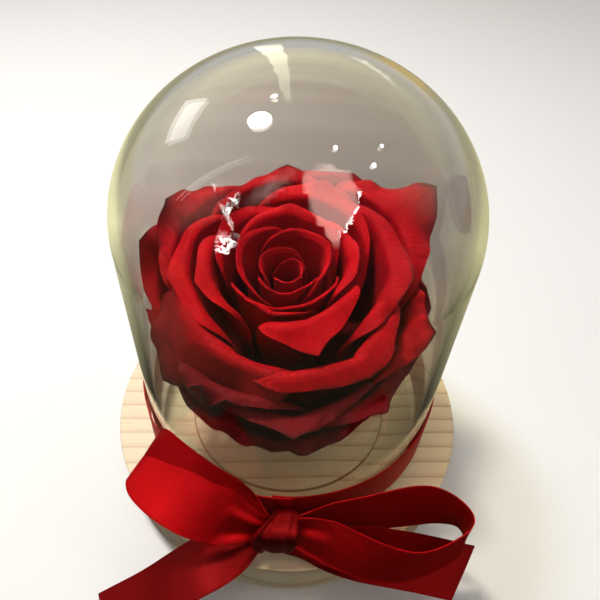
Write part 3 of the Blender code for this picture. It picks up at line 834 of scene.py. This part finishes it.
# %% Petal table
Petal = namedtuple(
    "Petal",
    "name spiral azimuth half_width place reach roll fold lip point tip corner crumple at half",
    defaults=(0.25, 0, 2),
)
PETAL_ROWS = {
    "bud": (
        (-25, 173, 0.018, 0.928, 19, 25, 1, 0, 0, 0.19),
        (133, 98, 0.073, 0.942, 22, 41, 1.6, 0.1, 0.2, 0.21),
        (-85, 101, 0.128, 0.939, 34, 9, 1.6, 0.1, -0.2, 0.12),
        (35, 98, 0.191, 0.952, 40, 29, 1.9, 0.3, 0, 0.2),
        (171, 86, 0.233, 0.946, 33, 28, 2, 0.3, -0.2, 0.05),
        (-68, 80, 0.282, 0.942, 42, 23, 2, 0.3, 0.2, 0),
        (90, 75, 0.283, 0.972, 36, 35, 3.1, 0.5, 0, 0.21),
    ),
    "inner": (
        (-112, 69, 0.346, 0.954, 35, 2, 3, 0.3, 0.1, 0.19),
        (23, 62, 0.348, 0.937, 49, 38, 4, 0.6, -0.2, 0.26),
        (127, 58, 0.391, 0.931, 33, 23, 4.2, 0.6, 0.2, 0.32),
        (-172, 49, 0.461, 0.949, 66, 10, 5.2, 0.6, 0.1, 0.15),
        (-59, 60, 0.433, 0.965, 109, 3, 11, 0.9, -0.16, 0.32),
        (67, 53, 0.513, 0.931, 24, 35, 6, 0.8, 0.1, 0.33),
        (180, 55, 0.596, 0.947, 92, 6, 6.4, 0.5, 0.1, 0.25),
    ),
    "outer": (
        (-128, 52, 0.659, 0.958, 132, 0, 19, 0.25, -0.25, 0.4, 1.8, -0.8, 0.3),
        (10, 62, 0.618, 0.95, 52, 30, 7.2, 0.7, -0.2, 0.3, 1.6, -0.2, 0.4),
        (98, 52, 0.67, 0.941, 28, 62, 4.9, 0.9, -0.1, 0.33, 1.6, 0.6, 0.6),
        (-60, 55, 0.695, 0.968, 112, 0, 7.4, 0.1, 0.2, 0.38),
        (149, 44, 0.75, 0.971, 22, 56, 9.2, 1, 0.1, 0.54, 1.8, 0, 0.6),
        (33, 41, 0.776, 0.962, 44, 46, 15, 1, 0, 0.46, 1.4),
        (-124, 46, 0.806, 0.935, 62, 30, 6, 0.5, 0, 0.42, 7, 0, 0.35),
        (-17, 28, 0.849, 0.937, 44, 42, 8.6, 1, -0.05, 0.52, 1.6),
        (-84, 45, 0.862, 0.937, 61, 39, 7.2, 0.9, 0, 0.6, 2.4),
        (71, 47, 0.93, 0.963, 20, 54, 3.8, 0.8, -0.15, 0.38),
        (166, 42, 0.921, 0.983, 12, 66, 8.8, 1, 0.1, 0.47),
        (-46, 42, 0.905, 0.945, 55, 22, 6.5, 1, -0.1, 0.44, 2.2, 0.3, 0.6),
        (1, 37, 0.989, 0.908, 30, 47, 4.4, 1, -0.1, 0.37, 2),
        (-98, 54, 0.975, 0.912, 46, 26, 4.8, 0.3, 0.15, 0.34, 4),
    ),
}
BUD_SPIRAL = 0.004  # how fast a bud petal winds outwards
FIRST_SPIRAL = 0.006
# painted shade: these petals take the darker low and hanging kinds
PAINTED_SHADE_KINDS = {f"outer_petal_{number}": "low" for number in (7, 9, 12, 13, 14)} | {"outer_petal_1": "hanging"}
petals = []
for kind, rows in PETAL_ROWS.items():
    for number, row in enumerate(rows, 1):
        petals.append(Petal(f"{kind}_petal_{number}", BUD_SPIRAL if kind == "bud" else 0, *row))
petals[0] = petals[0]._replace(spiral=FIRST_SPIRAL)
print(len(petals), "petals")

# %% [markdown]
# ## One petal
# The body of the petal bends like its profile. At the rim it rolls round a small radius
# and runs on straight, so the roll makes the soft bright ridge that catches the light,
# and the tip beyond it hangs as a flap. Gentle waves along the normal keep it from
# looking like sheet metal, and they grow towards the rim.

# %% Petal shape
HEAD_FOOT = Vector((-0.6, 5.5, 29)) * MM
HEAD = (
    Matrix.Translation(HEAD_FOOT)
    @ Matrix.Rotation(math.radians(-2), 4, "Y")
    @ Matrix.Rotation(math.radians(12), 4, "X")
)
PETAL_THICKNESS = 0.4 * MM
BUD_CLAW, OPEN_CLAW = 0.34, 0.55  # share of its full width that a petal has at its base


def rim_length(p, side, u, seed):
    """Length of the curled rim in millimetres; side runs from the tip to the corners."""
    sharp = 0.5 * (1 - side) + 0.5 * (1 - side) ** 3.5
    length = 0.7 * p.lip * ((1 - p.point) * (1 - side**2.4) + p.point * sharp)
    length = length + 0.3 * p.lip * (1 - side**6) + 0.4
    return length * (1 + 0.05 * np.sin(7 * u + seed) + 0.03 * np.sin(13 * u + 1.7 * seed))


def petal_points(p, x, v, claw):
    """Where the petal's vertices lie, in millimetres in the head's own frame."""
    u = np.where(x < 0.5, -1 + 2 * x * (1 + p.tip), p.tip + (2 * x - 1) * (1 - p.tip))
    body = np.clip(v / RIM_ROWS_FROM, 0, 1)
    curl = np.clip((v - RIM_ROWS_FROM) / (1 - RIM_ROWS_FROM), 0, 1)
    seed = math.radians(p.azimuth) * 3.7 + p.place * 50
    half_angle = math.radians(p.half_width) * (claw + (1 - claw) * smooth_step(body / CLAW_END))
    theta = math.radians(p.azimuth) + half_angle * u
    place = p.place + p.spiral * half_angle * u
    width = np.where(u < p.tip, 1 + p.tip, 1 - p.tip)
    side = np.abs(u - p.tip) / width

    droop = 0.06 * side**2.6 + 0.12 * side**7
    wide = u * math.radians(p.half_width) / 0.9
    droop = droop + (0.008 * np.sin(3.1 * wide + seed) + 0.006 * np.sin(6.3 * wide + 2 * seed)) * side
    share = PETAL_START + (p.reach * (1 - droop) - PETAL_START) * body
    at = profile_point(place, share, theta)
    along = unit(at - profile_point(place, share - 0.01, theta))
    out = np.stack([along[..., 1], -along[..., 0]], axis=-1)

    beside_tip = smooth_step(side / 0.4) * (1 - 0.6 * smooth_step((side - 0.6) / 0.4))
    roll = p.roll + p.fold * beside_tip + 10 * np.sin(4 * u + 1.3 * seed) + 6 * np.sin(9 * u + seed)
    roll = np.radians(np.maximum(roll, 4))
    run = rim_length(p, side, u, seed) * curl
    bend = np.minimum(run / RIM_BEND, roll)
    straight = np.maximum(run - RIM_BEND * roll, 0)
    ahead = RIM_BEND * np.sin(bend) + straight * np.cos(roll)
    aside = RIM_BEND * (1 - np.cos(bend)) + straight * np.sin(roll)
    rz = at + along * ahead[:, None] + out * aside[:, None]

    middle = width * half_angle / 2
    chord = np.cos(middle) / np.cos(side * 2 * middle - middle)
    r = rz[:, 0] * (1 + p.corner * smooth_step((body - 0.45) / 0.5) * (chord - 1))
    return np.stack([r * np.cos(theta), r * np.sin(theta), rz[:, 1]], axis=-1), u, seed


def waves(p, u, v, seed):
    """How far the petal's surface lies off its smooth shape, in millimetres."""
    rise = (0.25 + 0.75 * p.place) * smooth_step((v * 0.75 - 0.1) / 0.7)
    slow = 0.55 * np.sin(5 * u + seed + 2 * v) + 0.32 * np.sin(11 * u - 1.5 * seed + 3 * v)
    slow = slow + 0.22 * np.sin(12 * v + seed + 3 * u)
    zigzag = np.arcsin(np.sin(26 * u + 2 * seed + 2 * v)) / 1.571
    frill = 0.24 * np.sin(19 * u + seed + 4 * v) + 0.34 * zigzag
    frill = frill * smooth_step((v - 0.72) / 0.28)
    where = smooth_step((p.half - np.abs(u - p.at)) / 0.3 + 0.5)
    return rise * (slow + frill * (0.25 + (p.crumple - 0.25) * where))


def petal(p, red):
    bud = p.name.startswith("bud")
    piece, x, v = grid_piece(p.name + "_tissue", 60 if bud else 52, 34)
    points, u, seed = petal_points(p, x, v, BUD_CLAW if bud else OPEN_CLAW)
    set_places(piece, points)
    normals = np.empty(len(piece.data.vertices) * 3)
    piece.data.vertices.foreach_get("normal", normals)
    points = points + normals.reshape(-1, 3) * waves(p, u, v, seed)[:, None]
    matrix = np.array(HEAD)
    set_places(piece, points * MM @ matrix[:3, :3].T + matrix[:3, 3])
    thicken(piece, PETAL_THICKNESS)
    dress(piece, red, 60, p.name)
    return piece


for entry in petals:
    made_petal = petal(entry, petal_reds[PAINTED_SHADE_KINDS.get(entry.name, entry.name.split("_")[0])])
tell(made_petal)

# %% [markdown]
# ## Stem, hip and sepals
# Under the petals a rose has its hip, and five leafy sepals spread from it. Only the cut
# end of a short stem is left, and it stands on the step. The stem is a cylinder whose
# upper end is extruded and resized ring by ring into the hip.

# %% Green material


def dried_green():
    made, shader, _ = new_material("dried_green", 0.68, Specular_IOR_Level=0.3)
    place = coordinates(shader)
    streaks, cloud = noise(place, (900, 900, 60)), noise(place, 160)
    colour = mix(streaks, (0.085, 0.105, 0.035), (0.15, 0.155, 0.06))
    colour = mix(cloud * 0.6, colour, (0.13, 0.085, 0.04))
    paint(shader, colour, cloud * 0.2 + 0.58, streaks + cloud, 0.12 * MM)
    return made


green = dried_green()

# %% Stem and hip
STEM_RADIUS = 2.6 * MM
STEM_FOOT = BASE_THICKNESS + STEP_HEIGHT + 0.05 * MM
STEM_HEIGHT = 1.2 * MM
HIP = (  # radius and height of each ring in the head's own frame, in millimetres
    (2.7, -2.2), (3.7, -1.1), (5, 0.2), (5.7, 1.6), (6, 2.9), (5.4, 4.6), (4.3, 6.8), (3, 9.4), (1.4, 12.4),
)

start()
stem_place = HEAD_FOOT.xy + Vector((0, 1 * MM))
centre = stem_place.to_3d() + Vector((0, 0, STEM_FOOT + STEM_HEIGHT))
middle = centre - Vector((0, 0, STEM_HEIGHT / 2))
bpy.ops.mesh.primitive_cylinder_add(vertices=40, radius=STEM_RADIUS, depth=STEM_HEIGHT, location=middle)
stem = named("stem_and_hip")
pick(stem, "EDGE", lambda middle, way: middle.z < STEM_FOOT + NEAR and abs(way.z) < 0.1)
bpy.ops.mesh.bevel(offset=0.25 * MM, segments=2, affect="EDGES")
pick(stem, "FACE", lambda middle, normal: normal.z > 0.9)
radius = STEM_RADIUS
tilt = math.acos((HEAD.to_3x3() @ Vector((0, 0, 1))).z)
for ring_radius, height in HIP:
    goal = HEAD @ Vector((0, 0, height * MM))
    bpy.ops.mesh.extrude_region_move(TRANSFORM_OT_translate={"value": goal - centre})
    scale = ring_radius * MM / radius
    bpy.ops.transform.resize(value=(scale, scale, scale), center_override=goal)
    if height == HIP[0][1]:
        bpy.ops.transform.rotate(value=-tilt, orient_axis="X", center_override=goal)
    centre, radius = goal, ring_radius * MM
start()
apply_modifier(stem, "SUBSURF", levels=1, render_levels=1)
dress(stem, green, 60, "stem_and_calyx")
tell(stem)

# %% [markdown]
# ## Sepals
# A sepal is a narrow leaf: broad at its foot, drawn out to a point, arched along its
# middle and curved down at its end. One is shaped from a grid, and the five are copies
# turned round the hip, each with its own mesh.

# %% Sepals
SEPAL_LENGTH = 20
first, x, v = grid_piece("sepal_1", 10, 24)
half_width = 3.4 * np.sin(math.pi * np.minimum(0.3 + 0.7 * v, 1)) ** 0.8 + 0.15
lateral = (2 * x - 1) * half_width
droop = 0.6 * v - 3.2 * v**2 + 0.5 * np.sin(7 * v) * v
arch = -0.3 * (lateral / 3) ** 2
reach = 4.8 + SEPAL_LENGTH * v * 0.94
set_places(first, np.stack([reach, lateral, -0.2 + droop + arch], axis=-1) * MM)
thicken(first, 0.45 * MM)
sepals = [first]
for number in range(2, 6):
    copy = first.copy()
    copy.data = first.data.copy()
    copy.name = copy.data.name = f"sepal_{number}"
    scene.collection.objects.link(copy)
    sepals.append(copy)
for number, sepal in enumerate(sepals):
    turn = Matrix.Rotation(2 * math.pi * number / len(sepals), 4, "Z")
    sepal.data.transform(HEAD @ turn)
    dress(sepal, green, 50)
tell(first)

# %% [markdown]
# ## The floor and the room
# A plain pale floor shows the soft shadow, and the room is a soft grey. The glass shows
# more of both than the camera does: pale floor behind it, cream light along its edges and
# a brighter room above. A ray counts how often it was thrown back or let through, so
# masks made from those counts give the glass its own view of the floor and of the room.
# The floor's views are painted reflections: it glows with them only for rays that met
# glass, and to light bouncing off it, it is a plain grey glow.

# %% Floor and room


def seen_in_glass(beside):
    """Two masks: 1 for a ray that glass threw back, and 1 for one that met glass at all."""
    direct = maths("LESS_THAN", light_path(beside, "Diffuse Depth"), 0.5)
    back = maths("GREATER_THAN", light_path(beside, "Glossy Depth"), 0.5)
    through = maths("GREATER_THAN", light_path(beside, "Transmission Depth"), 0.5)
    return direct * back, direct * maths("MAXIMUM", back, through)


start()
bpy.ops.mesh.primitive_plane_add(size=4, location=(0, 0, -0.0003))
floor = named("floor")
made, shader, output = new_material("pale_floor", 0.7, Specular_IOR_Level=0.2)
place = coordinates(shader)
feed(shader, {"Base_Color": mix(noise(place, 3), (0.86, 0.855, 0.85), (0.9, 0.895, 0.89))})
x, y, _ = axes(place)
sideways, distance = span(x, -0.1, 0.1), add("VectorMath", {0: place}, "Value", operation="LENGTH")
thrown_back, met_glass = seen_in_glass(shader)
# painted reflections: what the glass shows of the floor behind it and of the room in front, glowing from
# the floor only for rays that met glass
painted_view_behind = mix(noise(place, (3, 26, 1)), (0.36, 0.325, 0.29), (0.52, 0.48, 0.44))
painted_view_behind = mix(1, painted_view_behind, mix(sideways, (1.42, 1.4, 1.38), (0.62, 0.6, 0.58)), "MULTIPLY")
painted_view_behind = mix(span(distance, 1, 1.8, True), painted_view_behind, (1.05, 1.01, 0.8))
painted_reflection_in_front = mix(sideways, (1, 0.96, 0.6), (0.66, 0.62, 0.36))
painted_reflection_in_front = mix(span(distance, 0.2, 0.46, True), painted_reflection_in_front, (0.4, 0.37, 0.26))
painted_reflection_in_front = mix(span(y, 0.1, 0), painted_reflection_in_front, (0.045, 0.04, 0.026))
whole = Value(shader.outputs[0])
# the floor glows with each painted view, and with a plain grey glow for diffuse rays
for share, colour in (
    (met_glass, painted_view_behind),
    (thrown_back, painted_reflection_in_front),
    (light_path(shader, "Is Diffuse Ray"), (0.16, 0.15, 0.14)),
):
    view = add("Emission", {"Color": colour}, beside=shader)
    whole = add("MixShader", {0: share, 1: whole, 2: view})
feed(output, {"Surface": whole})
floor.data.materials.append(made)

scene.world = bpy.data.worlds.new("soft_room")
scene.world.use_nodes = True
room = scene.world.node_tree.nodes["Background"]
_, y, z = axes(coordinates(room, "Generated"))
front = span(y, 0.4, -0.3, True)
overhead = span(z, 0.15, 0.4, True)
thrown_back, met_glass = seen_in_glass(room)
sharp = light_path(room, "Is Singular Ray")
colour = mix(front, (0.55, 0.545, 0.54), (0.2, 0.195, 0.19))
colour = mix(met_glass * overhead, colour, (1.15, 1.1, 0.82))
colour = mix(thrown_back * sharp * front, colour, (0.04, 0.04, 0.045))
feed(room, {"Color": colour, "Strength": 1})
scene.view_settings.view_transform = "Standard"
print("floor and room made")

# %% [markdown]
# ## Lamps and cards
# The photograph's light comes from a lamp above and a window behind on the left, and both
# can be seen mirrored in the glass. A mirrored lamp shows where the camera's ray, thrown
# back by the dome, would hit it. So each lamp is placed by that ray: it then gives both
# the light and the highlight of the real one. Highlights with a shape of their own are
# bright cards, placed the same way, that the glass alone shows.

# %% Lamps and cards
PHOTO_SIZE = 600
LAMP_DISTANCE = 0.6  # from the dome, and the cards stand there too


def mirrored(x, y, distance=LAMP_DISTANCE):
    """The place in the room that the dome mirrors at a point of the photograph, and its direction."""
    focal = PHOTO_SIZE * camera.data.lens / camera.data.sensor_width
    half = PHOTO_SIZE / 2
    ray = (forward + right * (x - half) / focal - up * (y - half) / focal).normalized()
    _, place, normal, _ = dome.ray_cast(eye, ray)
    bounced = ray - 2 * ray.dot(normal) * normal
    return place + bounced * distance, bounced


def lamp(name, x, y, size, radiance, colour=(1, 1, 1), shape="DISK", distance=LAMP_DISTANCE):
    """A lamp whose mirror image on the dome lies at a point of the photograph."""
    place, bounced = mirrored(x, y, distance)
    start()
    bpy.ops.object.light_add(type="AREA", location=place)
    light = bpy.context.object
    light.name = light.data.name = name
    light.rotation_euler = bounced.to_track_quat("Z", "Y").to_euler()
    wide, high = size if hasattr(size, "__len__") else (size, size)
    area = wide * high * (1 if shape == "RECTANGLE" else math.pi / 4)
    energy = radiance * math.pi * area
    for key, value in dict(shape=shape, size=wide, size_y=high, energy=energy, color=colour).items():
        setattr(light.data, key, value)
    print(f"{name}: {energy:.3f} W at", tuple(round(c, 2) for c in place))


def card(name, low, high, colour, soft=0.01, crinkled=False):
    """A bright card whose image lies between two lines of points, each x and y in turn."""
    piece, u, v = grid_piece(name, 16, 4)
    lines = []
    for line in (low, high):
        line = np.reshape(line, (-1, 2))
        steps = np.linspace(0, 1, len(line))
        lines.append(np.stack([np.interp(u, steps, numbers) for numbers in line.T], axis=-1))
    at = (1 - v)[:, None] * lines[0] + v[:, None] * lines[1]
    set_places(piece, np.array([mirrored(x, y)[0] for x, y in at]))
    made, shader, output = new_material(name, 0.5)
    mask = 1
    for number in axes(coordinates(shader, "UV"))[:2]:
        mask = span(maths("ABSOLUTE", number - 0.5), 0.5, 0.5 - soft) * mask
    if crinkled:
        mask = mask * span(noise(coordinates(shader), 40, 3, 1.5), 0.46, 0.54)
    clear = add("BsdfTransparent", {}, beside=shader)
    glow = add("Emission", {"Color": colour}, beside=shader)
    feed(output, {"Surface": add("MixShader", {0: mask, 1: clear, 2: glow})})
    made.cycles.emission_sampling = "NONE"
    piece.data.materials.append(made)
    for kind in ("camera", "diffuse", "transmission", "volume_scatter", "shadow"):
        setattr(piece, "visible_" + kind, False)


def streak(name, points, width, colour, crinkled=False):
    """A thin card along a line of points."""
    points = np.reshape(points, (-1, 2)).astype(float)
    along = unit(np.vstack([points[1:], points[-1:]]) - np.vstack([points[:1], points[:-1]]))
    aside = along[:, ::-1] * (-width / 2, width / 2)
    card(name, points - aside, points + aside, colour, 0.3, crinkled)


lamp("ceiling_lamp", 258, 122, 0.1, 130, (1, 0.97, 0.92), distance=0.55)
lamp("window_left", 184, 118, (0.22, 0.13), 3.2, (0.98, 1, 1), "RECTANGLE")
lamp("left_streak", 207, 175, (0.022, 0.5), 2.5, (1, 0.97, 0.93), "ELLIPSE")
lamp("lamp_right_far", 380, 145, 0.02, 60)
lamp("lamp_right_near", 373, 167, 0.03, 30)
lamp("lamp_top", 335, 148, 0.025, 50)
lamp("lamp_high", 275, 95, 0.03, 25)
# Every card and streak below is a painted highlight or painted reflection: it glows, and only glossy rays
# see it.
GLINT, ARC = (46, 45, 43), (24, 23, 21.5)
for shape in (
    ("veil", (300, 173, 302, 190, 311, 214, 335, 248), (322, 162, 349, 170, 362, 190, 337, 247),
     (10, 6.9, 6), 0.1),
    ("faint_veil", (238, 200, 264, 178, 300, 158), (248, 214, 274, 200, 303, 176), (5.5, 3.8, 3.3), 0.5),
    ("left_veil", (160, 212, 185, 192, 215, 180, 236, 176), (168, 246, 190, 232, 212, 226, 232, 214),
     (2.4, 0.95, 0.8), 0.35),
    ("right_wedge", (349, 209, 340, 222, 330, 240), (357, 214, 350, 227, 334, 246), GLINT, 0.2, True),
    ("left_upper", (235, 192, 227, 200, 219, 214), (240, 194, 237, 207, 226, 220), GLINT, 0.2, True),
    ("left_lower", (217, 231, 213, 243, 215, 255), (233, 235, 235, 245, 229, 257), GLINT, 0.2, True),
    ("left_speck", (200, 202, 202, 208), (206, 201, 206, 207), GLINT, 0.2, True),
    ("crescent", (251, 46, 266, 57, 277, 78, 286, 103), (282, 43, 288, 59, 291, 80, 291, 106),
     (4.6, 4.5, 3.2), 0.1),
    ("right_band", (352, 54, 385, 67, 415, 89, 438, 117), (351, 47, 390, 58, 424, 80, 450, 113),
     (0.9, 0.62, 0.14), 0.35),
):
    card(*shape)
for line in (
    ("right_line", (337, 176, 352, 183, 361, 195, 355, 213, 345, 229, 333, 244), 3, GLINT, True),
    ("left_arc", (212, 172, 215, 190, 221, 208, 230, 226, 238, 240), 1.6, ARC),
    ("left_inner_arc", (217, 176, 221, 195, 228, 215, 236, 232), 1.2, ARC),
    ("high_arc", (345, 55, 366, 63, 385, 76, 400, 91), 4, (2.6, 2.5, 2.1)),
):
    streak(*line)

# %% Finish
start()
